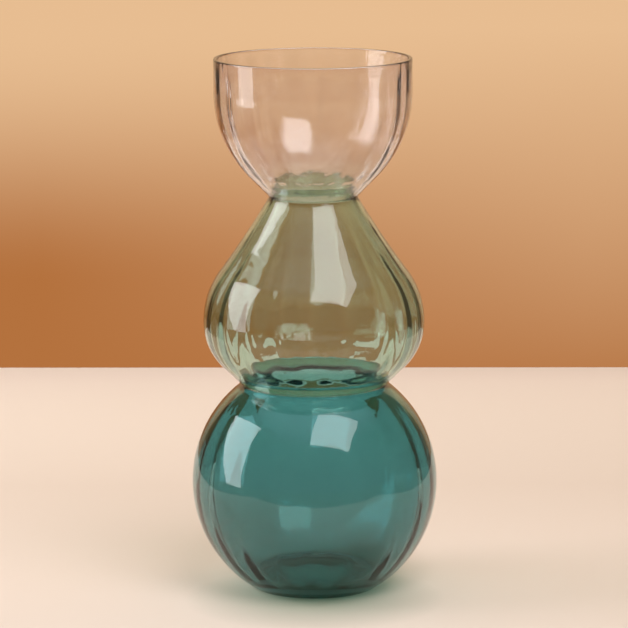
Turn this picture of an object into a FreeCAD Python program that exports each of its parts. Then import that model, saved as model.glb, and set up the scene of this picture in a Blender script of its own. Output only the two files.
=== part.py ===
# Double gourd vase: three blown glass sections, one above the other, with a lapped and bonded
# joint at each neck: the lower section's mouth ends in a lip that stands up into the hole in the
# bottom of the next one. From the foot up they are a flattened globe, a gourd and an open cup.
# The outsides are smooth. The insides carry shallow upright ribs from an optic mould.
# Origin: centre of the foot, on the surface that the vase stands on. Z is up. Lengths in mm.

import FreeCAD, Part
import math
import os
import Sketcher
from FreeCAD import Vector

# Driving sizes, kept in the document's sheet under these names.
SIZES = {
    "overall_height": 300.0,
    "rim_radius": 55.4,
    "rim_wall": 2.0,
    "upper_neck_height": 222.2,
    "upper_neck_radius": 24.8,
    "belly_height": 151.9,
    "belly_radius": 62.1,
    "lower_neck_height": 116.2,
    "lower_neck_radius": 41.2,
    "equator_height": 60.7,
    "globe_radius": 69.0,
    "foot_radius": 34.8,
    "foot_hollow_radius": 28.0,
    "foot_hollow_depth": 2.0,
    "wall": 3.3,
    "neck_wall": 3.0,
    "bowl_wall": 3.8,
    "base_thickness": 7.0,
    "rib_count": 20,
    "globe_rib_depth": 0.75,
    "gourd_rib_depth": 0.8,
    "cup_rib_depth": 0.5,
    "lower_lip_length": 6.5,
    "upper_lip_length": 9.0,
    "lip_wall": 1.5,
    "lap_clearance": 0.3,
    "bond_thickness": 0.6,
    "overrun": 5.0,
}

# Shares of the sizes above that shape the outlines and the ribs.
BOWL_CORNER_SHARE = 0.3964        # of the way up to the rim: corner of the cup's cone and upright
BOWL_ROUND_SHARE = 0.64           # of the shorter of those two legs that the bowl's arc takes
SHOULDER_CORNER_SHARE = 0.223     # of the way up to the neck: corner of shoulder and upright
SHOULDER_AIM_SHARE = 0.875        # of the neck's radius: where the shoulder's lower end points
UNDERSIDE_CORNER_SHARE = 0.42     # of the way down to the seat: corner of underside and upright
RIB_RISE_SHARE = 0.12             # of a section's inner height in which the ribs reach full depth
GLOBE_RIB_HOLD_SHARE = 0.6        # of that height to which they keep it before they fade
GOURD_RIB_HOLD_SHARE = 0.3
CUP_RIB_HOLD_SHARE = 0.8
STEPS_OF_ARC = 5                  # steps between ribbed rings along an arc of an inner outline
STEPS_OF_LINE = 1                 # and along a line

doc = FreeCAD.newDocument("DoubleGourdVase")
sheet = doc.addObject("Spreadsheet::Sheet", "Sizes")
for row, (name, amount) in enumerate(SIZES.items(), start=1):
    sheet.set("A%d" % row, name)
    sheet.set("B%d" % row, str(amount))
    sheet.setAlias("B%d" % row, name)
doc.recompute()


def size(name):
    """The value of one named size in the sheet."""
    return float(getattr(sheet, name))


def value(formula):
    """What a sum or difference of named sizes comes to, such as wall + overrun."""
    total, sign = 0, 1
    for word in formula.split():
        if word in "+-":
            sign = 1 if word == "+" else -1
        else:
            total += sign * size(word)
    return total


def bound(formula):
    """The same sum as an expression that a property or a constraint can be bound to."""
    return " ".join(word if word in "+-" else "Sizes." + word for word in formula.split())


def at(radius, height):
    """A point of an outline, in the half plane that is turned about the axis."""
    return Vector(radius, height, 0)


class Stretch:
    """One line, or one arc about centre, of an outline that is listed from the bottom up."""

    def __init__(self, start, end, centre=None):
        self.start = start
        self.end = end
        self.centre = centre
        if centre is None:
            self.curve = Part.LineSegment(start, end)
            return
        first, last = sorted(math.atan2(p.y - centre.y, p.x - centre.x) for p in (start, end))
        circle = Part.Circle(centre, Vector(0, 0, 1), start.distanceToPoint(centre))
        self.curve = Part.ArcOfCircle(circle, first, last)

    def turned(self):
        """The same stretch, listed the other way."""
        return Stretch(self.end, self.start, self.centre)

    def place(self, share):
        """The point at this share of the way up the stretch, and the outward direction there."""
        first, last = self.curve.FirstParameter, self.curve.LastParameter
        if self.end_number(self.start) == 2:
            first, last = last, first
        where = first + (last - first) * share
        run = self.curve.tangent(where)[0]
        outward = at(run.y, -run.x)
        return self.curve.value(where), outward if outward.x > 0 else outward * -1

    def end_number(self, point):
        """The number that a sketch gives this end of the curve: 1 for its first, 2 for its last."""
        gap = self.curve.value(self.curve.FirstParameter).distanceToPoint(point)
        return 1 if gap < self.start.distanceToPoint(self.end) / 2 else 2


def upright_arc(widest, end):
    """Arc to end that is upright at its widest point."""
    rise = end.y - widest.y
    inset = widest.x - end.x
    radius = (rise * rise + inset * inset) / (2 * inset)
    return Stretch(widest, end, at(widest.x - radius, widest.y))


def level_arc(crown, end):
    """Arc from the axis, where it is level, down to end."""
    drop = crown.y - end.y
    radius = (end.x * end.x + drop * drop) / (2 * drop)
    return Stretch(crown, end, at(0, crown.y - radius))


def corner_arc(start, corner, aim):
    """Arc that leaves start towards corner, and ends as far past the corner on the way to aim."""
    back = start - corner
    reach = back.Length
    ahead = aim - corner
    ahead.normalize()
    half = math.acos(back.dot(ahead) / reach) / 2
    bisector = back * (1 / reach) + ahead
    bisector.normalize()
    return Stretch(start, corner + ahead * reach, corner + bisector * (reach / math.cos(half)))


def onward_arc(start, heading, end):
    """Arc to end that has this heading where it starts."""
    across = at(heading.y, -heading.x)
    across.normalize()
    run = end - start
    return Stretch(start, end, start + across * (run.Length ** 2 / (2 * across.dot(run))))


# Outer outlines, each from the bottom up.
foot = at(size("foot_radius"), 0)
equator = at(size("globe_radius"), size("equator_height"))
globe_mouth = at(size("lower_neck_radius"), size("lower_neck_height"))
GLOBE = [upright_arc(equator, foot).turned(), upright_arc(equator, globe_mouth)]

gourd_seat = at(size("lower_neck_radius"), value("lower_neck_height + bond_thickness"))
belly = at(size("belly_radius"), size("belly_height"))
gourd_mouth = at(size("upper_neck_radius"), size("upper_neck_height"))
under_corner = at(belly.x, belly.y - (belly.y - gourd_seat.y) * UNDERSIDE_CORNER_SHARE)
under_arc = corner_arc(belly, under_corner, gourd_seat).turned()
shoulder_corner = at(belly.x, belly.y + (gourd_mouth.y - belly.y) * SHOULDER_CORNER_SHARE)
shoulder_aim = at(gourd_mouth.x * SHOULDER_AIM_SHARE, gourd_mouth.y)
belly_arc = corner_arc(belly, shoulder_corner, shoulder_aim)
shoulder_arc = onward_arc(belly_arc.end, shoulder_aim - shoulder_corner, gourd_mouth)
GOURD = [Stretch(gourd_seat, under_arc.start), under_arc, belly_arc, shoulder_arc]

cup_seat = at(size("upper_neck_radius"), value("upper_neck_height + bond_thickness"))
rim = at(size("rim_radius"), size("overall_height"))
bowl_corner = at(rim.x, cup_seat.y + (rim.y - cup_seat.y) * BOWL_CORNER_SHARE)
cone = cup_seat - bowl_corner
bowl_reach = min(cone.Length, rim.y - bowl_corner.y) * BOWL_ROUND_SHARE
cone_end = bowl_corner + cone * (bowl_reach / cone.Length)
bowl_arc = corner_arc(cone_end, bowl_corner, rim)
CUP = [Stretch(cup_seat, cone_end), bowl_arc, Stretch(bowl_arc.end, rim)]


def sketch_on(body, plane, name):
    """Empty sketch on one of the body's own planes."""
    planes = {feature.Role: feature for feature in body.Origin.OriginFeatures}
    sketch = body.newObject("Sketcher::SketchObject", name)
    sketch.AttachmentSupport = (planes[plane], [""])
    sketch.MapMode = "FlatFace"
    return sketch


def bind(sketch, kind, *ends, amount, formula):
    """Constraint of a sketch whose value follows the sheet."""
    number = sketch.addConstraint(Sketcher.Constraint(kind, *ends, amount))
    sketch.setExpression("Constraints[%d]" % number, bound(formula))


def blank(name, below, outline, above, fixed):
    """Solid turned from an outer outline. below are the stretches from the axis to the outline,
    above the points past its end, and fixed the points that follow the sheet, each with the
    names of its radius and its height."""
    body = doc.addObject("PartDesign::Body", name + "_blank")
    sketch = sketch_on(body, "XZ_Plane", name + "_outline")
    corners = [outline[-1].end] + above
    corners.append(at(0, corners[-1].y))
    lines = [Stretch(a, b) for a, b in zip(corners, corners[1:])]
    chain = below + outline + lines + [Stretch(corners[-1], below[0].start)]
    ids = sketch.addGeometry([stretch.curve for stretch in chain])
    for here, stretch in enumerate(chain):
        after = (here + 1) % len(chain)
        end = (ids[here], stretch.end_number(stretch.end))
        start = (ids[after], chain[after].end_number(chain[after].start))
        sketch.addConstraint(Sketcher.Constraint("Coincident", *end, *start))
        for point, radius, height in fixed:
            if point is stretch.end:
                bind(sketch, "DistanceX", -1, 1, *end, amount=point.x, formula=radius)
                if height:
                    bind(sketch, "DistanceY", -1, 1, *end, amount=point.y, formula=height)
    turned = body.newObject("PartDesign::Revolution", name + "_turned")
    turned.Profile = sketch
    turned.ReferenceAxis = (sketch, ["V_Axis"])
    body.Tip = turned
    return body


def ribbed_ring(radius, height, depth):
    """Closed outline at one height, whose ribs stand in from the wall by depth."""
    steps = 2 * int(size("rib_count"))
    points = []
    for step in range(steps + 1):
        reach = radius - depth * (step % 2)
        turn = 2 * math.pi * step / steps
        points.append(Vector(reach * math.cos(turn), reach * math.sin(turn), height))
    return Part.makePolygon(points)


def rib_fade(share, hold):
    """Part of the full rib depth that stands at this share of a section's inner height: the ribs
    rise soon, keep their depth up to hold and fade to nothing at the top."""
    rise = min(share / RIB_RISE_SHARE, 1)
    fall = min((1 - share) / (1 - hold), 1)
    return (math.sin(rise * math.pi / 2) * math.sin(fall * math.pi / 2)) ** 2


def cavity(name, outline, walls, hold, neck_ends, below, above):
    """Inside of a section, lofted straight from one ribbed ring to the next. walls are the
    glass's thicknesses at the points of the outline, hold is how far up the ribs keep their
    depth, neck_ends says which ends are necks, where the thickness is measured level, and below
    and above are how far the inside runs on."""
    stops = [(0, 0.0)]
    for number, stretch in enumerate(outline):
        steps = STEPS_OF_ARC if stretch.centre else STEPS_OF_LINE
        stops += [(number, (step + 1) / steps) for step in range(steps)]
    inside = []
    for stop, (number, share) in enumerate(stops):
        point, outward = outline[number].place(share)
        thickness = walls[number] + (walls[number + 1] - walls[number]) * share
        inner = point - outward * thickness
        if (stop == 0 and neck_ends[0]) or (stop == len(stops) - 1 and neck_ends[1]):
            inner = at(point.x - size("neck_wall"), point.y)
        inside.append(inner)
    widest = max(point.x for point in inside)
    low, high = inside[0].y, inside[-1].y
    rings = []
    for point in inside:
        fade = rib_fade((point.y - low) / (high - low), hold)
        rings.append((point.x, point.y, size(name + "_rib_depth") * fade * point.x / widest))
    if below:
        rings.insert(0, (rings[0][0], rings[0][1] - below, 0))
    if above:
        rings.append((rings[-1][0], rings[-1][1] + above, 0))
    feature = doc.addObject("Part::Feature", name + "_cavity")
    feature.Shape = Part.makeLoft([ribbed_ring(*ring) for ring in rings], True, True)
    return feature


def hole(name, neck):
    """Cylinder that opens a section's bottom for the lip of the one below."""
    tool = doc.addObject("Part::Cylinder", name + "_hole")
    tool.setExpression("Radius", bound(neck + "_radius - neck_wall + lip_wall + lap_clearance"))
    tool.setExpression("Height", bound(neck.replace("neck", "lip_length") + " + overrun"))
    tool.setExpression("Placement.Base.z", bound(neck + "_height + bond_thickness - overrun"))
    return tool


def cut(name, base, *tools):
    """One shape with others taken out of it. The last result has the name."""
    for number, tool in enumerate(tools, start=1):
        last = number == len(tools)
        feature = doc.addObject("Part::Cut", name if last else "%s_cut_%d" % (name, number))
        feature.Base = base
        feature.Tool = tool
        base = feature
    return base


def bond(name, neck):
    """Flat ring of clear bond between the ground faces of two sections."""
    body = doc.addObject("PartDesign::Body", name)
    sketch = sketch_on(body, "XY_Plane", name + "_ring")
    outer = neck + "_radius"
    inner = neck + "_radius - neck_wall + lip_wall + lap_clearance"
    for formula in (outer, inner):
        circle = Part.Circle(Vector(0, 0, 0), Vector(0, 0, 1), value(formula))
        ring = sketch.addGeometry(circle)
        sketch.addConstraint(Sketcher.Constraint("Coincident", ring, 3, -1, 1))
        bind(sketch, "Radius", ring, amount=value(formula), formula=formula)
    pad = body.newObject("PartDesign::Pad", name + "_pad")
    pad.Profile = sketch
    pad.setExpression("Length", bound("bond_thickness"))
    body.Tip = pad
    body.setExpression("Placement.Base.z", bound(neck + "_height"))
    return body


def lip(neck):
    """Points of the lip that stands up inside a mouth, from its foot outside to its top."""
    radius = value(neck + "_radius - neck_wall + lip_wall")
    height = size(neck + "_height")
    return [at(radius, height), at(radius, height + size(neck.replace("neck", "lip_length")))]


def base_globe():
    """Flattened globe, with a hollow under its foot and a lip on its open mouth."""
    crown = at(0, size("foot_hollow_depth"))
    ring = at(size("foot_hollow_radius"), 0)
    fixed = [
        (foot, "foot_radius", None),
        (equator, "globe_radius", "equator_height"),
        (globe_mouth, "lower_neck_radius", "lower_neck_height"),
    ]
    walls = [size("base_thickness"), size("wall"), size("neck_wall")]
    below = [level_arc(crown, ring), Stretch(ring, foot)]
    solid = blank("globe", below, GLOBE, lip("lower_neck"), fixed)
    above = value("lower_lip_length + overrun")
    inside = cavity("globe", GLOBE, walls, GLOBE_RIB_HOLD_SHARE, (False, True), 0, above)
    return cut("base_globe", solid, inside)


def middle_gourd():
    """Gourd, with a hole in its bottom and a lip on the mouth above its shoulder."""
    fixed = [
        (gourd_seat, "lower_neck_radius", "lower_neck_height + bond_thickness"),
        (belly, "belly_radius", "belly_height"),
        (gourd_mouth, "upper_neck_radius", "upper_neck_height"),
    ]
    walls = [size("neck_wall"), size("wall"), size("wall"), size("wall"), size("neck_wall")]
    below = [Stretch(at(0, gourd_seat.y), gourd_seat)]
    solid = blank("gourd", below, GOURD, lip("upper_neck"), fixed)
    ends = (size("overrun"), value("upper_lip_length + overrun"))
    inside = cavity("gourd", GOURD, walls, GOURD_RIB_HOLD_SHARE, (True, True), *ends)
    return cut("middle_gourd", solid, inside, hole("gourd", "lower_neck"))


def top_cup():
    """Open cup with a hole in its bottom. Its bowl is thickest just above the neck, and its wall
    thins to the rim."""
    fixed = [
        (cup_seat, "upper_neck_radius", "upper_neck_height + bond_thickness"),
        (rim, "rim_radius", "overall_height"),
    ]
    walls = [size("neck_wall"), size("bowl_wall"), size("wall"), size("rim_wall")]
    solid = blank("cup", [Stretch(at(0, cup_seat.y), cup_seat)], CUP, [], fixed)
    ends = (size("overrun"), size("overrun"))
    inside = cavity("cup", CUP, walls, CUP_RIB_HOLD_SHARE, (True, False), *ends)
    return cut("top_cup", solid, inside, hole("cup", "upper_neck"))


parts = [
    base_globe(),
    bond("lower_neck_bond", "lower_neck"),
    middle_gourd(),
    bond("upper_neck_bond", "upper_neck"),
    top_cup(),
]
doc.recompute()

for item in doc.Objects:
    if "Invalid" in item.State or "Error" in item.State:
        raise RuntimeError("%s did not recompute: %s" % (item.Name, item.State))
for item in parts:
    if item.Shape.isNull() or not item.Shape.isValid() or len(item.Shape.Solids) != 1:
        raise RuntimeError("%s is not one valid solid" % item.Label)
os.makedirs("parts", exist_ok=True)
for item in parts:
    item.Shape.exportStep("parts/%s.step" % item.Label)
    print("%s %.0f cubic mm" % (item.Label, item.Shape.Volume))
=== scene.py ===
"""Looks of the double gourd vase: three sections of blown glass, with a thin bond at each neck.

Every glass section is a closed profile turned about the vase's axis. The outside is smooth. The
inside carries upright ribs, as soft and slightly uneven waves that keep their depth for part of
the way up and then fade.
"""
import math

import bpy
import numpy as np
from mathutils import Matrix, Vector


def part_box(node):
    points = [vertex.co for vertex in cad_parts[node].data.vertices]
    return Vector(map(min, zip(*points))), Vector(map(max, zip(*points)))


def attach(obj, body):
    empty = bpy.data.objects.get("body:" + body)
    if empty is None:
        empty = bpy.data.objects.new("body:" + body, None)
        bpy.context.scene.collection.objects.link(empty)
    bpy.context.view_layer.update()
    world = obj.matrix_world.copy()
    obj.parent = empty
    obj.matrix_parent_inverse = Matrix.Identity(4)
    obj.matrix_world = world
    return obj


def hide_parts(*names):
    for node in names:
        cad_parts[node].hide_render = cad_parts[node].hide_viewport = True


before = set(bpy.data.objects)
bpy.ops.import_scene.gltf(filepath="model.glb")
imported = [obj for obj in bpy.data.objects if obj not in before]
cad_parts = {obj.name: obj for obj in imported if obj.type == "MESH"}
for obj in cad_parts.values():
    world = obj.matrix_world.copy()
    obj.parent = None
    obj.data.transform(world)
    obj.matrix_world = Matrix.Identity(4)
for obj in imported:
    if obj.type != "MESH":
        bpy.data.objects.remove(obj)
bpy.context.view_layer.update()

# Sizes that the frame gives, in metres.
MM = 0.001
GLOBE_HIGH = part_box("base_globe")[1]
LOWER_LOW, LOWER_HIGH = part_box("lower_neck_bond")
GOURD_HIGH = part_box("middle_gourd")[1]
UPPER_LOW, UPPER_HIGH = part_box("upper_neck_bond")
CUP_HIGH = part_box("top_cup")[1]

# Sizes of the outlines that no box gives.
EQUATOR_HEIGHT = 60.7 * MM
FOOT_RADIUS = 34.8 * MM
FOOT_HOLLOW_RADIUS = 28.0 * MM
FOOT_HOLLOW_DEPTH = 2.0 * MM
BELLY_HEIGHT = 151.9 * MM

# Glass thicknesses, and the lips that stand up from the mouths.
WALL = 3.3 * MM
NECK_WALL = 3.0 * MM
BOWL_WALL = 3.8 * MM
RIM_WALL = 2.0 * MM
BASE_THICKNESS = 7.0 * MM
LIP_WALL = 1.5 * MM
LAP_CLEARANCE = 0.3 * MM
SEAT_GAP = 0.03 * MM

# The inner wall of the gourd and the cup starts this far outside the hole in the bottom. A face
# slants from there to the hole, because a sharp wedge of glass would mirror a dark band.
HOLE_FLARE = 1.5 * MM

# Rounding of the edges: its radius, the sharpest turn that is left alone and the most that it
# takes of a side.
EDGE_ROUND = 0.25 * MM
RIM_ROUND = 0.8 * MM
LEFT_ALONE = math.radians(25)
MOST_OF_SIDE = 0.45

# Shares that shape the outlines, as in the solids.
BOWL_CORNER_SHARE = 0.3964
BOWL_ROUND_SHARE = 0.64
SHOULDER_CORNER_SHARE = 0.223
SHOULDER_AIM_SHARE = 0.875
UNDERSIDE_CORNER_SHARE = 0.42

# Ribs: their number, then for each section their depth and the share of the inner height up to
# which they keep it. Those of the globe and the gourd go on further up than in the solids, as the
# photograph shows them.
RIBS = 20
RIB_RISE_SHARE = 0.12
GLOBE_RIBS = (0.75 * MM, 0.78)
GOURD_RIBS = (0.8 * MM, 0.5)
CUP_RIBS = (0.5 * MM, 0.8)

# Unevenness of the ribs around the turn, as waves: times around, size and start. The wander is
# in radians, and the height is a share.
RIB_WANDER = ((3, 0.04, 0.6), (5, 0.03, 2.1))
RIB_MEAN_HEIGHT = 0.86
RIB_UNEVENNESS = ((2, 0.09, 1.0), (7, 0.05, 0.4))

# Round ripples that the tool leaves on the globe's floor: radius and height. The ribs cross them
# over a wider ring.
FLOOR_RINGS = ((27.0 * MM, 0.45 * MM), (21.5 * MM, 0.35 * MM))
FLOOR_RING_WIDTH = 1.4 * MM
FLOOR_RIB_WIDTH = 4.2 * MM

# Fineness of the meshes.
TURNS = 320
STEP = 1.5 * MM
FLOOR_STEP = 0.45 * MM
ROUND_STEPS = 6

# The ring ground under the foot is matt. The glass just above it is painted darker, as contact shade
# and partly as the deeper colour of thick glass, and light is lost in it on the way to the floor.
# Heights are in metres.
GROUND_BELOW = 0.15 * MM
GROUND_ROUGHNESS = 0.55
# Painted contact shade, partly the deeper colour of thick glass: the tint is darker in the lowest
# millimetres.
FOOT_DEPTH_AND_SHADE = 0.38
FOOT_DEPTH_AND_SHADE_HIGH = 3.0 * MM
FOOT_SHADE = (0.57, 0.66, 0.60)
FOOT_SHADE_SPAN = (3.0 * MM, 28.0 * MM)

# Table top: tones at three distances back, painted paler further back where less light reaches it, then its
# edges as the glass mirrors them.
FLOOR_REACH = 8.0
FLOOR_DROP = 0.1 * MM
FLOOR_NEAR = -0.08
FLOOR_MIDDLE = 0.26
FLOOR_FAR = 0.6
FLOOR_TONES = ((0.68, 0.57, 0.49), (0.71, 0.60, 0.51), (0.89, 0.79, 0.69))
TABLE_HALF_WIDTH = 0.45
TABLE_DEPTH = 0.29
TABLE_EDGE_BLUR = 0.02

# Painted contact shadow just in front of the foot, by the distance from a point there, and a painted
# pool of the light that the globe gathers inside the foot.
CONTACT_SHADOW_POINT = (0, -0.034, 0)
CONTACT_SHADOW_SPAN = (0.012, 0.073)
CONTACT_SHADOW_TONE = (0.31, 0.31, 0.23)
GATHERED_LIGHT_SPAN = (22.0 * MM, FOOT_HOLLOW_RADIUS)
GATHERED_LIGHT_TONE = (0.70, 0.82, 0.74)

# Room, as the glass shows it. Each span is of one part of the direction looked in.
ROOM_AHEAD = (0.22, 0.24, 0.25)
ROOM_AROUND = (0.14, 0.08, 0.045)
ROOM_AHEAD_SPAN = (-0.5, -0.1)
ROOM_BESIDE = (0.19, 0.18, 0.17)
ROOM_BESIDE_SPAN = (0.88, 0.97)
ROOM_ABOVE = (0.68, 0.82, 0.95)
ROOM_ABOVE_SPAN = (0.6, 0.95)
FILL_TONE = (0.95, 0.9, 0.85)
FILL_STRENGTH = 0.2

# Backdrop: where it stands and how far it is turned, its tones, the heights over which they
# climb on the left and on the right, and where it ends to each side in the glass.
BACKDROP_AT = 0.657
BACKDROP_TURN = 0.02
BACKDROP_HALF_WIDTH = 2.5
BACKDROP_HEIGHT = 2.5
BACKDROP_TONES = ((0.456, 0.168, 0.048), (0.80, 0.51, 0.285))
LEFT_TO_RIGHT = (-0.2, 0.2)
LEFT_CLIMB = (0.06, 0.25)
RIGHT_CLIMB = (-0.03, 0.25)
SHEET_EDGE = (0.45, 0.50)

# Softboxes. They hang where the photograph's windows show in the glass. Their corners are
# directions from a point on the axis, times the distance away.
SOFTBOX_TONE = (0.95, 0.98, 1.0)
SOFTBOX_GLOW = 8.0
SOFTBOX_IN_GLASS = 5.1
CENTRE = Vector((0, 0, 0.15))
FRONT_AWAY = 1.6
FRONT_CORNERS = ((-0.065, -0.796, 0.734), (0.534, -0.723, 0.534), (0.62, -0.20, 0.83), (0.05, -0.28, 0.96))
LEFT_AWAY = 1.2
LEFT_CORNERS = ((-1, -0.33, -0.11), (-1, -0.04, -0.10), (-1, 0.58, 0.62), (-1, -0.25, 0.95))

# Camera, for a frame of 628 by 628 pixels, at the photograph's viewing angle.
FRAME_PIXELS = 628
FOCAL_PIXELS = 3850
SENSOR = 36
CAMERA_BACK = 2.1285
CAMERA_HEIGHT = 0.5302
PITCH_DOWN = 0.1742
ROLL = 0.0045
AXIS_LEFT_PIXELS = 3.1


def line(start, end, step=STEP):
    """Points from start to end: start + share * (end - start), with share from 0 to 1."""
    start, end = np.array(start), np.array(end)
    steps = max(2, int(np.linalg.norm(end - start) / step) + 1)
    share = np.linspace(0, 1, steps)[:, None]
    return start + share * (end - start)


def arc(centre, start, end):
    """Points on the circle about centre, at even angles the shorter way from start to end."""
    centre, start, end = np.array(centre), np.array(start), np.array(end)
    radius = np.linalg.norm(start - centre)
    first = math.atan2(*(start - centre)[::-1])
    last = math.atan2(*(end - centre)[::-1])
    turn = (last - first + math.pi) % (2 * math.pi) - math.pi
    angle = first + np.linspace(0, turn, max(4, int(radius * abs(turn) / STEP) + 1))
    return centre + radius * np.stack([np.cos(angle), np.sin(angle)], axis=1)


def upright_arc(widest, end):
    """Arc from the widest point, where it is upright, to end."""
    rise, inset = end[1] - widest[1], widest[0] - end[0]
    radius = (rise * rise + inset * inset) / (2 * inset)
    return arc((widest[0] - radius, widest[1]), widest, end)


def level_arc(crown, end):
    """Arc from the axis, where it is level, down to end."""
    drop = crown[1] - end[1]
    radius = (end[0] * end[0] + drop * drop) / (2 * drop)
    return arc((0, crown[1] - radius), crown, end)


def corner_arc(start, corner, aim):
    """Arc that leaves start towards corner and ends as far past it, on the way to aim."""
    start, corner, aim = np.array(start), np.array(corner), np.array(aim)
    reach = np.linalg.norm(start - corner)
    back = (start - corner) / reach
    ahead = (aim - corner) / np.linalg.norm(aim - corner)
    half = math.acos(back @ ahead) / 2
    bisector = (back + ahead) / np.linalg.norm(back + ahead)
    return arc(corner + bisector * reach / math.cos(half), start, corner + ahead * reach)


def onward_arc(start, heading, end):
    """Arc from start, with that heading there, to end."""
    start, end = np.array(start), np.array(end)
    across = np.array([heading[1], -heading[0]]) / np.linalg.norm(heading)
    run = end - start
    return arc(start + across * (run @ run) / (2 * across @ run), start, end)


def chain(*stretches):
    """The stretches end to end, without the points that they share."""
    return np.concatenate([stretches[0]] + [stretch[1:] for stretch in stretches[1:]])


def outward(points):
    """Unit normals of an outline listed from the bottom up: its direction, turned clockwise."""
    run = np.gradient(points, axis=0)
    normal = np.stack([run[:, 1], -run[:, 0]], axis=1)
    return normal / np.linalg.norm(normal, axis=1)[:, None]


def spread(stretches, amounts):
    """Amounts given at the ends of the stretches, drawn out evenly over their points."""
    pieces = [np.linspace(a, b, len(s)) for a, b, s in zip(amounts, amounts[1:], stretches)]
    return chain(*[piece[:, None] for piece in pieces])[:, 0]


def with_ribs(points, ribs=0.0):
    """The points as rows of radius, height and rib depth."""
    points = np.array(points)
    return np.column_stack([points, np.broadcast_to(ribs, len(points))])


def rib_depths(points, ribs):
    """Depth of the ribs along an inner outline, in proportion to its radius: a smooth rise, then
    full depth up to the share that ribs gives, then a smooth fall to nothing at the top."""
    depth, hold = ribs
    height = points[:, 1]
    share = (height - height.min()) / (height.max() - height.min())
    rise = np.minimum(share / RIB_RISE_SHARE, 1)
    fall = np.minimum((1 - share) / (1 - hold), 1)
    fade = (np.sin(rise * math.pi / 2) * np.sin(fall * math.pi / 2)) ** 2
    return depth * fade * points[:, 0] / points[:, 0].max()


def rounded(points, radius):
    """The profile with each sharp corner cut back by radius and replaced by the curve
    (1-t)^2 before + 2t(1-t) corner + t^2 after. Points are rows of radius, height, rib."""
    out = []
    for before, here, after in zip(np.roll(points, 1, axis=0), points, np.roll(points, -1, axis=0)):
        back, ahead = before - here, after - here
        reach_back, reach_ahead = np.linalg.norm(back[:2]), np.linalg.norm(ahead[:2])
        turn = math.acos(np.clip(-back[:2] @ ahead[:2] / (reach_back * reach_ahead), -1, 1))
        if turn < LEFT_ALONE or here[0] < radius:
            out.append(here[None])
            continue
        a = here + back * min(radius / reach_back, MOST_OF_SIDE)
        b = here + ahead * min(radius / reach_ahead, MOST_OF_SIDE)
        t = np.linspace(0, 1, ROUND_STEPS)[:, None]
        out.append((1 - t) ** 2 * a + 2 * t * (1 - t) * here + t * t * b)
    return np.concatenate(out)


def waves(level, parts, angle):
    """level plus the sum of size * sin(times * angle + start) over the parts."""
    return level + sum(size * np.sin(times * angle + start) for times, size, start in parts)


def rib_wave(angle):
    """Height of the ribs around the turn, from 0 to 1. Each rib is (1 - cos) / 2 of 20 times the
    angle. The angle itself wanders by up to 4 degrees and the height by up to a quarter, as in
    blown glass."""
    wander = waves(0, RIB_WANDER, angle)
    return waves(RIB_MEAN_HEIGHT, RIB_UNEVENNESS, angle) * (1 - np.cos(RIBS * (angle + wander))) / 2


def turned(name, profile, open_ended=False):
    """Surface of a closed profile turned about Z. At turn a and profile point k it stands at
    radius r_k - rib_k * rib_wave(a) and height z_k. An open-ended profile starts and ends on the
    axis, and each end closes in a fan about one point."""
    angle = np.linspace(0, 2 * math.pi, TURNS, endpoint=False)
    body = profile[1:-1] if open_ended else profile
    radius = body[:, 0][None] - rib_wave(angle)[:, None] * body[:, 2][None]
    x, y = radius * np.cos(angle)[:, None], radius * np.sin(angle)[:, None]
    z = np.broadcast_to(body[:, 1], radius.shape)
    points = np.stack([x, y, z], axis=2).reshape(-1, 3)
    count = len(body)
    here = np.arange(TURNS)[:, None] * count
    there = (np.arange(TURNS)[:, None] + 1) % TURNS * count
    k = np.arange(count - 1 if open_ended else count)[None]
    after = (k + 1) % count
    faces = np.stack([here + k, there + k, there + after, here + after], axis=2).reshape(-1, 4).tolist()
    if open_ended:
        lower_pole, upper_pole = np.full_like(here, len(points)), np.full_like(here, len(points) + 1)
        points = np.concatenate([points, [[0, 0, profile[0, 1]], [0, 0, profile[-1, 1]]]])
        end = count - 1
        faces += np.stack([here, lower_pole, there], axis=2).reshape(-1, 3).tolist()
        faces += np.stack([there + end, upper_pole, here + end], axis=2).reshape(-1, 3).tolist()
    mesh = bpy.data.meshes.new(name)
    mesh.from_pydata(points.tolist(), [], faces)
    mesh.polygons.foreach_set("use_smooth", np.ones(len(mesh.polygons), bool))
    mesh.update()
    piece = bpy.data.objects.new(name, mesh)
    bpy.context.scene.collection.objects.link(piece)
    return piece


def collar(neck_radius, mouth, top):
    """Points of the lip that stands up from a mouth, from its foot outside to its top inside."""
    inside = neck_radius - NECK_WALL
    return with_ribs([(inside + LIP_WALL, mouth), (inside + LIP_WALL, top), (inside, top)])


def hole_around_lip(neck_radius):
    """Radius of the hole that the lip of a neck stands in."""
    return neck_radius - NECK_WALL + LIP_WALL + LAP_CLEARANCE


def inner_wall(stretches, walls, ribs, start=None, throat=None):
    """Inner outline, listed from the top down: the outer stretches moved in by the walls given at
    their ends. start is its radius at the bottom, and throat that at the top."""
    outer = chain(*stretches)
    inner = outer - outward(outer) * spread(stretches, walls)[:, None]
    if throat:
        inner[-1] = (throat, outer[-1, 1])
    if start:
        inner = inner[np.argmax(inner[:, 0] > start):]
        run = inner[1] - inner[0]
        foot = inner[0] - run * (inner[0, 0] - start) / run[0]
        inner = np.concatenate([[foot], inner])
    return with_ribs(inner, rib_depths(inner, ribs))[::-1]


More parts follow.
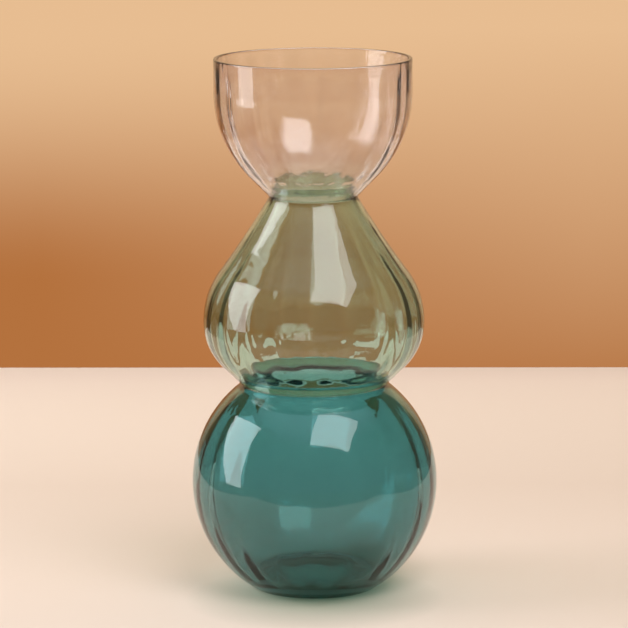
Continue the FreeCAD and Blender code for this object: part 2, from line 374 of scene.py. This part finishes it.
def globe_profile():
    """Foot hollow, foot, outer wall, mouth with its lip, inner wall and floor."""
    foot = (FOOT_RADIUS, 0)
    equator = (GLOBE_HIGH.x, EQUATOR_HEIGHT)
    mouth = (LOWER_HIGH.x, LOWER_LOW.z - SEAT_GAP)
    stretches = [upright_arc(equator, foot)[::-1], upright_arc(equator, mouth)]
    walls = [BASE_THICKNESS, WALL, NECK_WALL]
    inner = inner_wall(stretches, walls, GLOBE_RIBS, throat=mouth[0] - NECK_WALL)
    hollow = level_arc((0, FOOT_HOLLOW_DEPTH), (FOOT_HOLLOW_RADIUS, 0))
    floor = with_ribs(line(inner[-1, :2], (0, inner[-1, 1]), FLOOR_STEP))
    for ring, height in FLOOR_RINGS:
        off = floor[:, 0] - ring
        floor[:, 1] += height * np.exp(-(off / FLOOR_RING_WIDTH) ** 2)
        floor[:, 2] += GLOBE_RIBS[0] * np.exp(-(off / FLOOR_RIB_WIDTH) ** 2)
    return np.concatenate([
        with_ribs(hollow),
        with_ribs(chain(*stretches)),
        collar(*mouth, GLOBE_HIGH.z),
        inner,
        floor[1:],
    ])


def gourd_profile():
    """Hole in the bottom, seat, outer wall, mouth with its lip, and inner wall."""
    seat = (LOWER_HIGH.x, LOWER_HIGH.z + SEAT_GAP)
    belly = (GOURD_HIGH.x, BELLY_HEIGHT)
    mouth = (UPPER_HIGH.x, UPPER_LOW.z - SEAT_GAP)
    low_corner = (belly[0], belly[1] - (belly[1] - seat[1]) * UNDERSIDE_CORNER_SHARE)
    under = corner_arc(belly, low_corner, seat)
    corner = (belly[0], belly[1] + (mouth[1] - belly[1]) * SHOULDER_CORNER_SHARE)
    aim = (mouth[0] * SHOULDER_AIM_SHARE, mouth[1])
    swell = corner_arc(belly, corner, aim)
    shoulder = onward_arc(swell[-1], np.array(aim) - corner, mouth)
    stretches = [line(seat, under[-1]), under[::-1], swell, shoulder]
    walls = [NECK_WALL, WALL, WALL, WALL, NECK_WALL]
    hole = hole_around_lip(seat[0])
    inner = inner_wall(stretches, walls, GOURD_RIBS, hole + HOLE_FLARE, mouth[0] - NECK_WALL)
    return np.concatenate([
        with_ribs([(hole, seat[1])]),
        with_ribs(chain(*stretches)),
        collar(*mouth, GOURD_HIGH.z),
        inner,
    ])


def cup_profile():
    """Hole in the bottom, seat, conical bottom, bowl, wall, level rim and inner wall."""
    seat = (UPPER_HIGH.x, UPPER_HIGH.z + SEAT_GAP)
    rim = (CUP_HIGH.x, CUP_HIGH.z)
    corner = np.array((rim[0], seat[1] + (rim[1] - seat[1]) * BOWL_CORNER_SHARE))
    cone = seat - corner
    reach = min(np.linalg.norm(cone), rim[1] - corner[1]) * BOWL_ROUND_SHARE
    cone_end = corner + cone * reach / np.linalg.norm(cone)
    bowl = corner_arc(cone_end, corner, rim)
    stretches = [line(seat, cone_end), bowl, line(bowl[-1], rim)]
    walls = [NECK_WALL, BOWL_WALL, WALL, RIM_WALL]
    hole = hole_around_lip(seat[0])
    inner = inner_wall(stretches, walls, CUP_RIBS, hole + HOLE_FLARE)
    inner[0, 1] = rim[1]
    return np.concatenate([with_ribs([(hole, seat[1])]), with_ribs(chain(*stretches)), inner])


def bond_profile(low, high):
    """Square ring between two seats, from the hole around the lip out."""
    inner = hole_around_lip(high.x)
    return with_ribs([(inner, low.z), (high.x, low.z), (high.x, high.z), (inner, high.z)])


def feed(tree, socket, amount):
    """The input gets a number, a vector, a colour or another node's output."""
    if isinstance(amount, bpy.types.NodeSocket):
        tree.links.new(amount, socket)
    elif socket.type == "RGBA":
        socket.default_value = (*amount, 1)
    else:
        socket.default_value = amount


def node(tree, kind, **inputs):
    """New node of a tree, with its inputs given by name, spaces as underscores."""
    made = tree.nodes.new(kind)
    for name, amount in inputs.items():
        feed(tree, made.inputs[name.replace("_", " ")], amount)
    return made


def maths(tree, operation, *values):
    """Outcome of a maths node. Each value is a number or another node's output."""
    made = tree.nodes.new("ShaderNodeMath")
    made.operation = operation
    for socket, amount in zip(made.inputs, values):
        feed(tree, socket, amount)
    return made.outputs[0]


def distance(tree, where, point):
    """Distance of where from a point."""
    made = tree.nodes.new("ShaderNodeVectorMath")
    made.operation = "DISTANCE"
    feed(tree, made.inputs[0], where)
    feed(tree, made.inputs[1], point)
    return made.outputs["Value"]


def climbing(tree, value, low, high, kind="LINEAR"):
    """0 where the value is low or less, 1 where it is high or more, and even or smooth between."""
    span = node(tree, "ShaderNodeMapRange", Value=value, From_Min=low, From_Max=high)
    span.interpolation_type = kind
    return span.outputs[0]


def blend(tree, share, first, second):
    """First colour at share 0 and second at share 1. Each is a colour or a node's output."""
    return node(tree, "ShaderNodeMixRGB", Fac=share, Color1=first, Color2=second).outputs[0]


def either(tree, share, first, second):
    """First shader at share 0 and second at share 1. Each is a node."""
    mix = tree.nodes.new("ShaderNodeMixShader")
    for socket, source in zip(mix.inputs, (share, first.outputs[0], second.outputs[0])):
        feed(tree, socket, source)
    return mix


def place_in(tree, coordinates="Object"):
    """The place or direction that is shaded, whole and as X, Y and Z."""
    where = tree.nodes.new("ShaderNodeTexCoord").outputs[coordinates]
    return where, node(tree, "ShaderNodeSeparateXYZ", Vector=where).outputs


def noise(tree, where, per_metre, detail, roughness):
    """Soft noise over the places, with that many swells per metre along X, Y and Z."""
    scaled = node(tree, "ShaderNodeMapping", Vector=where, Scale=per_metre).outputs[0]
    made = node(tree, "ShaderNodeTexNoise", Vector=scaled, Scale=1.0, Detail=detail, Roughness=roughness)
    return made.outputs["Fac"]


def seen_in_glass(tree):
    """1 for rays that are mirrored in glass or pass through it, and 0 for the others."""
    path = tree.nodes.new("ShaderNodeLightPath")
    return maths(tree, "MAXIMUM", path.outputs["Is Glossy Ray"], path.outputs["Is Transmission Ray"])


def group_of(name, inputs, outputs):
    """Empty node group with these sockets, given as name and kind."""
    tree = bpy.data.node_groups.new(name, "ShaderNodeTree")
    for title, kind in inputs:
        tree.interface.new_socket(title, in_out="INPUT", socket_type="NodeSocket" + kind)
    for title, kind in outputs:
        tree.interface.new_socket(title, in_out="OUTPUT", socket_type="NodeSocket" + kind)
    return tree, tree.nodes.new("NodeGroupInput").outputs, tree.nodes.new("NodeGroupOutput").inputs


def blown_colour_group():
    """Colour of the glass: one tint at a low height and another at a high one, with faint cloudy
    streaks that follow the blowing, and darker low in a foot: painted contact shade and thick glass."""
    tree, given, out = group_of("blown_colour", [
        ("Low Tint", "Color"), ("High Tint", "Color"),
        ("Low", "Float"), ("High", "Float"), ("Streaks", "Float"),
    ], [("Tint", "Color")])
    where, parts = place_in(tree)
    climb = climbing(tree, parts["Z"], given["Low"], given["High"], "SMOOTHSTEP")
    tint = blend(tree, climb, given["Low Tint"], given["High Tint"])
    cloud = noise(tree, where, per_metre=(60, 60, 14), detail=3.0, roughness=0.55)
    streaked = maths(tree, "MULTIPLY_ADD", maths(tree, "SUBTRACT", cloud, 0.5), given["Streaks"], 1.0)
    # Painted contact shade, partly the deeper colour of thick glass: the tint is darker in the lowest
    # millimetres.
    above_foot = climbing(tree, parts["Z"], 0, FOOT_DEPTH_AND_SHADE_HIGH)
    foot = maths(tree, "MULTIPLY_ADD", above_foot, 1 - FOOT_DEPTH_AND_SHADE, FOOT_DEPTH_AND_SHADE)
    shade = node(tree, "ShaderNodeHueSaturation", Value=maths(tree, "MULTIPLY", streaked, foot), Color=tint)
    feed(tree, out["Tint"], shade.outputs[0])
    return tree


def blown_surface_group():
    """Surface of blown glass: slow undulations and fine upright draw lines as a normal, and a
    roughness made of an even haze, faint smudges and the matt ring that is ground under a foot."""
    tree, given, out = group_of("blown_surface", [
        ("Undulation", "Float"), ("Draw Lines", "Float"), ("Haze", "Float"), ("Smudges", "Float"),
    ], [("Roughness", "Float"), ("Normal", "Vector")])
    where, parts = place_in(tree)
    slow = noise(tree, where, per_metre=(26, 26, 26), detail=2.5, roughness=0.5)
    swell = node(tree, "ShaderNodeBump", Distance=4.0 * MM, Strength=given["Undulation"], Height=slow)
    fine = noise(tree, where, per_metre=(240, 240, 9), detail=2.0, roughness=0.5)
    lines = node(tree, "ShaderNodeBump", Distance=0.4 * MM, Strength=given["Draw Lines"], Height=fine,
                 Normal=swell.outputs["Normal"])
    feed(tree, out["Normal"], lines.outputs["Normal"])
    smear = noise(tree, where, per_metre=(9, 9, 9), detail=4.0, roughness=0.6)
    patch = climbing(tree, smear, low=0.55, high=0.8)
    dull = maths(tree, "MULTIPLY_ADD", patch, given["Smudges"], given["Haze"])
    on_ground = maths(tree, "LESS_THAN", parts["Z"], GROUND_BELOW)
    feed(tree, out["Roughness"], maths(tree, "MULTIPLY_ADD", on_ground, GROUND_ROUGHNESS, dull))
    return tree


BLOWN_COLOUR = blown_colour_group()
BLOWN_SURFACE = blown_surface_group()


def material_of(name):
    """New material without nodes but its output: the material, its tree and that output."""
    material = bpy.data.materials.new(name)
    material.use_nodes = True
    material.node_tree.nodes.clear()
    return material, material.node_tree, material.node_tree.nodes.new("ShaderNodeOutputMaterial").inputs


def use_group(tree, group, **inputs):
    """Outputs of a group in a tree, with its inputs given by name, spaces as underscores."""
    made = tree.nodes.new("ShaderNodeGroup")
    made.node_tree = group
    for name, amount in inputs.items():
        feed(tree, made.inputs[name.replace("_", " ")], amount)
    return made.outputs


def glass(name, tints, heights, streaks, undulation, lines, haze, smudges, absorbed, density, shadow):
    """Clear glass with a tint at each surface, from the low height to the high one, and a through
    colour that deepens with the glass's thickness. Light shines through it to the floor, tinted by
    shadow, and less of it near the foot."""
    material, tree, output = material_of(name)
    colour = use_group(tree, BLOWN_COLOUR, Low_Tint=tints[0], High_Tint=tints[1], Low=heights[0],
                       High=heights[1], Streaks=streaks)
    skin = use_group(tree, BLOWN_SURFACE, Undulation=undulation, Draw_Lines=lines, Haze=haze, Smudges=smudges)
    body = node(tree, "ShaderNodeBsdfPrincipled", IOR=1.5, Transmission_Weight=1.0,
                Base_Color=colour["Tint"], Roughness=skin["Roughness"], Normal=skin["Normal"])
    above_foot = climbing(tree, place_in(tree)[1]["Z"], *FOOT_SHADE_SPAN)
    clear = node(tree, "ShaderNodeBsdfTransparent", Color=blend(tree, above_foot, FOOT_SHADE, shadow))
    to_light = tree.nodes.new("ShaderNodeLightPath").outputs["Is Shadow Ray"]
    feed(tree, output["Surface"], either(tree, to_light, body, clear).outputs[0])
    inside = node(tree, "ShaderNodeVolumeAbsorption", Color=absorbed, Density=density)
    feed(tree, output["Volume"], inside.outputs[0])
    return material


def floor_material():
    """Pale matt table top, paler where less light reaches it, with a painted greenish contact shadow just
    in front of the foot. Inside the foot it is paler, with a painted pool of the light that the globe
    gathers. Mirrored in the glass it ends a little way off, where the real table ends, and the brown of the
    room follows."""
    material, tree, output = material_of("floor")
    where, parts = place_in(tree)
    near = climbing(tree, parts["Y"], FLOOR_NEAR, FLOOR_MIDDLE)
    far = climbing(tree, parts["Y"], FLOOR_MIDDLE, FLOOR_FAR)
    tone = blend(tree, far, blend(tree, near, FLOOR_TONES[0], FLOOR_TONES[1]), FLOOR_TONES[2])
    # Painted contact shadow: the table's colour goes dark and greenish near the front of the foot.
    clear_of_contact_shadow = climbing(tree, distance(tree, where, CONTACT_SHADOW_POINT), *CONTACT_SHADOW_SPAN)
    # Painted pool of light: the table is paler inside the foot, where the globe gathers light.
    outside_light_pool = climbing(tree, distance(tree, where, (0, 0, 0)), *GATHERED_LIGHT_SPAN)
    shaded = blend(tree, clear_of_contact_shadow, CONTACT_SHADOW_TONE, tone)
    body = node(tree, "ShaderNodeBsdfPrincipled", Roughness=0.75, Specular_IOR_Level=0.2,
                Base_Color=blend(tree, outside_light_pool, GATHERED_LIGHT_TONE, shaded))
    aside = maths(tree, "MULTIPLY", maths(tree, "ABSOLUTE", parts["X"]), TABLE_DEPTH / TABLE_HALF_WIDTH)
    ahead = maths(tree, "MULTIPLY", parts["Y"], -1.0)
    off = climbing(tree, maths(tree, "MAXIMUM", aside, ahead), TABLE_DEPTH, TABLE_DEPTH + TABLE_EDGE_BLUR)
    path = tree.nodes.new("ShaderNodeLightPath").outputs
    mirrored = maths(tree, "SUBTRACT", path["Is Glossy Ray"], path["Is Transmission Ray"])
    share = maths(tree, "MULTIPLY", off, maths(tree, "MAXIMUM", mirrored, 0.0))
    room = node(tree, "ShaderNodeEmission", Color=ROOM_AROUND)
    feed(tree, output["Surface"], either(tree, share, body, room).outputs[0])
    return material


def backdrop_material():
    """Soft glow on the backdrop, seen from the front only: from behind the sheet is clear. It is
    lighter higher up, with a steep climb on the left and a slow one on the right. In the glass it
    ends beside the vase, as the real one does."""
    material, tree, output = material_of("backdrop")
    parts = place_in(tree)[1]
    to_right = climbing(tree, parts["X"], *LEFT_TO_RIGHT)
    on_left = climbing(tree, parts["Z"], *LEFT_CLIMB, "SMOOTHSTEP")
    on_right = climbing(tree, parts["Z"], *RIGHT_CLIMB)
    right_share = maths(tree, "MULTIPLY", on_right, to_right)
    left_share = maths(tree, "MULTIPLY", on_left, maths(tree, "SUBTRACT", 1.0, to_right))
    lit = blend(tree, maths(tree, "ADD", right_share, left_share), *BACKDROP_TONES)
    past_edge = climbing(tree, maths(tree, "ABSOLUTE", parts["X"]), *SHEET_EDGE)
    gone = maths(tree, "MULTIPLY", past_edge, seen_in_glass(tree))
    glow = node(tree, "ShaderNodeEmission", Color=blend(tree, gone, lit, ROOM_AROUND))
    clear = node(tree, "ShaderNodeBsdfTransparent")
    behind = tree.nodes.new("ShaderNodeNewGeometry").outputs["Backfacing"]
    feed(tree, output["Surface"], either(tree, behind, glow, clear).outputs[0])
    return material


def softbox_material():
    """Even cool white glow, a little dimmer where the glass shows it. It is clear to rays that
    pass through the glass without a reflection, so the vase isn't white from the far side."""
    material, tree, output = material_of("softbox")
    strength = maths(tree, "MULTIPLY_ADD", seen_in_glass(tree), SOFTBOX_IN_GLASS - SOFTBOX_GLOW, SOFTBOX_GLOW)
    glow = node(tree, "ShaderNodeEmission", Color=SOFTBOX_TONE, Strength=strength)
    path = tree.nodes.new("ShaderNodeLightPath").outputs
    unmirrored = maths(tree, "LESS_THAN", path["Glossy Depth"], 0.5)
    straight = maths(tree, "MULTIPLY", path["Is Transmission Ray"], unmirrored)
    clear = node(tree, "ShaderNodeBsdfTransparent")
    feed(tree, output["Surface"], either(tree, straight, glow, clear).outputs[0])
    return material


def room_tone(tree):
    """What stands around the stage, for the glass to show: daylight above the vase, dimmer ahead
    of it, grey straight to its sides and dark brown elsewhere."""
    parts = place_in(tree, "Generated")[1]
    level = blend(tree, climbing(tree, parts["Y"], *ROOM_AHEAD_SPAN), ROOM_AHEAD, ROOM_AROUND)
    beside = climbing(tree, maths(tree, "ABSOLUTE", parts["X"]), *ROOM_BESIDE_SPAN)
    above = climbing(tree, parts["Z"], *ROOM_ABOVE_SPAN, "SMOOTHSTEP")
    return blend(tree, above, blend(tree, beside, level, ROOM_BESIDE), ROOM_ABOVE)


def sheet_of(name, corners, material):
    """Flat face with these corners, as part of the stage."""
    mesh = bpy.data.meshes.new(name)
    mesh.from_pydata(corners, [], [list(range(len(corners)))])
    piece = bpy.data.objects.new(name, mesh)
    piece.data.materials.append(material)
    bpy.context.scene.collection.objects.link(piece)
    return piece


def softbox(name, directions, away):
    """Softbox with its corners that far off in these directions, which no camera sees."""
    corners = [CENTRE + Vector(direction) * away for direction in directions]
    sheet_of(name, corners, SOFTBOX).visible_camera = False


def place(piece, node_name, material):
    """The piece stands for its node, on the vase's one body."""
    piece.data.materials.append(material)
    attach(piece, "root")
    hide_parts(node_name)


# Glass.
TEAL = glass("teal_glass", tints=((0.31, 0.555, 0.58), (0.26, 0.59, 0.62)), heights=(0.0, 0.12),
             streaks=0.12, undulation=0.12, lines=0.10, haze=0.015, smudges=0.03,
             absorbed=(0.35, 0.55, 0.56), density=60, shadow=(0.92, 0.915, 0.90))
OLIVE = glass("olive_glass", tints=((0.85, 0.95, 0.89), (0.64, 0.75, 0.64)), heights=(0.216, 0.226),
              streaks=0.10, undulation=0.14, lines=0.10, haze=0.015, smudges=0.03,
              absorbed=(0.30, 0.56, 0.50), density=75, shadow=(0.95, 0.955, 0.945))
ROSE = glass("rose_glass", tints=((0.91, 0.96, 0.985), (0.985, 0.98, 0.985)), heights=(0.22, 0.265),
             streaks=0.12, undulation=0.14, lines=0.45, haze=0.07, smudges=0.05,
             absorbed=(0.60, 0.50, 0.62), density=18, shadow=(0.985, 0.98, 0.98))
CLEAR = glass("clear_bond", tints=((0.78, 0.88, 0.80), (0.78, 0.88, 0.80)), heights=(0.0, 0.3),
              streaks=0.05, undulation=0.10, lines=0.0, haze=0.0, smudges=0.2,
              absorbed=(0.6, 0.7, 0.65), density=40, shadow=(1.0, 1.0, 1.0))

place(turned("glass_globe", rounded(globe_profile(), EDGE_ROUND), open_ended=True),
      "base_globe", TEAL)
place(turned("glass_gourd", rounded(gourd_profile(), EDGE_ROUND)), "middle_gourd", OLIVE)
place(turned("glass_cup", rounded(cup_profile(), RIM_ROUND)), "top_cup", ROSE)
place(turned("lower_bond_ring", bond_profile(LOWER_LOW, LOWER_HIGH)), "lower_neck_bond", CLEAR)
place(turned("upper_bond_ring", bond_profile(UPPER_LOW, UPPER_HIGH)), "upper_neck_bond", CLEAR)

# Stage: floor, backdrop, softboxes and the room around them.
sheet_of("floor", [(x * FLOOR_REACH, y * FLOOR_REACH, -FLOOR_DROP)
                   for x, y in ((-1, -1), (1, -1), (1, 1), (-1, 1))], floor_material())
sheet_of("backdrop", [(x * BACKDROP_HALF_WIDTH, BACKDROP_AT - x * BACKDROP_HALF_WIDTH * BACKDROP_TURN,
                       z * BACKDROP_HEIGHT) for x, z in ((-1, 0), (1, 0), (1, 1), (-1, 1))],
         backdrop_material())
SOFTBOX = softbox_material()
softbox("softbox_front", FRONT_CORNERS, FRONT_AWAY)
softbox("softbox_left", LEFT_CORNERS, LEFT_AWAY)

world = bpy.data.worlds.new("room")
bpy.context.scene.world = world
world.use_nodes = True
around = world.node_tree
around.nodes.clear()
fill = node(around, "ShaderNodeBackground", Color=FILL_TONE, Strength=FILL_STRENGTH)
room = node(around, "ShaderNodeBackground", Color=room_tone(around))
lit_by = either(around, seen_in_glass(around), fill, room)
feed(around, around.nodes.new("ShaderNodeOutputWorld").inputs["Surface"], lit_by.outputs[0])
bpy.context.scene.view_settings.view_transform = "Standard"

lens = bpy.data.cameras.new("camera")
lens.sensor_width = SENSOR
lens.lens = FOCAL_PIXELS / FRAME_PIXELS * SENSOR
lens.shift_x = AXIS_LEFT_PIXELS / FRAME_PIXELS
camera = bpy.data.objects.new("camera", lens)
camera.location = (0, -CAMERA_BACK, CAMERA_HEIGHT)
camera.rotation_euler = (math.pi / 2 - PITCH_DOWN, ROLL, 0)
bpy.context.scene.collection.objects.link(camera)
bpy.context.scene.camera = camera
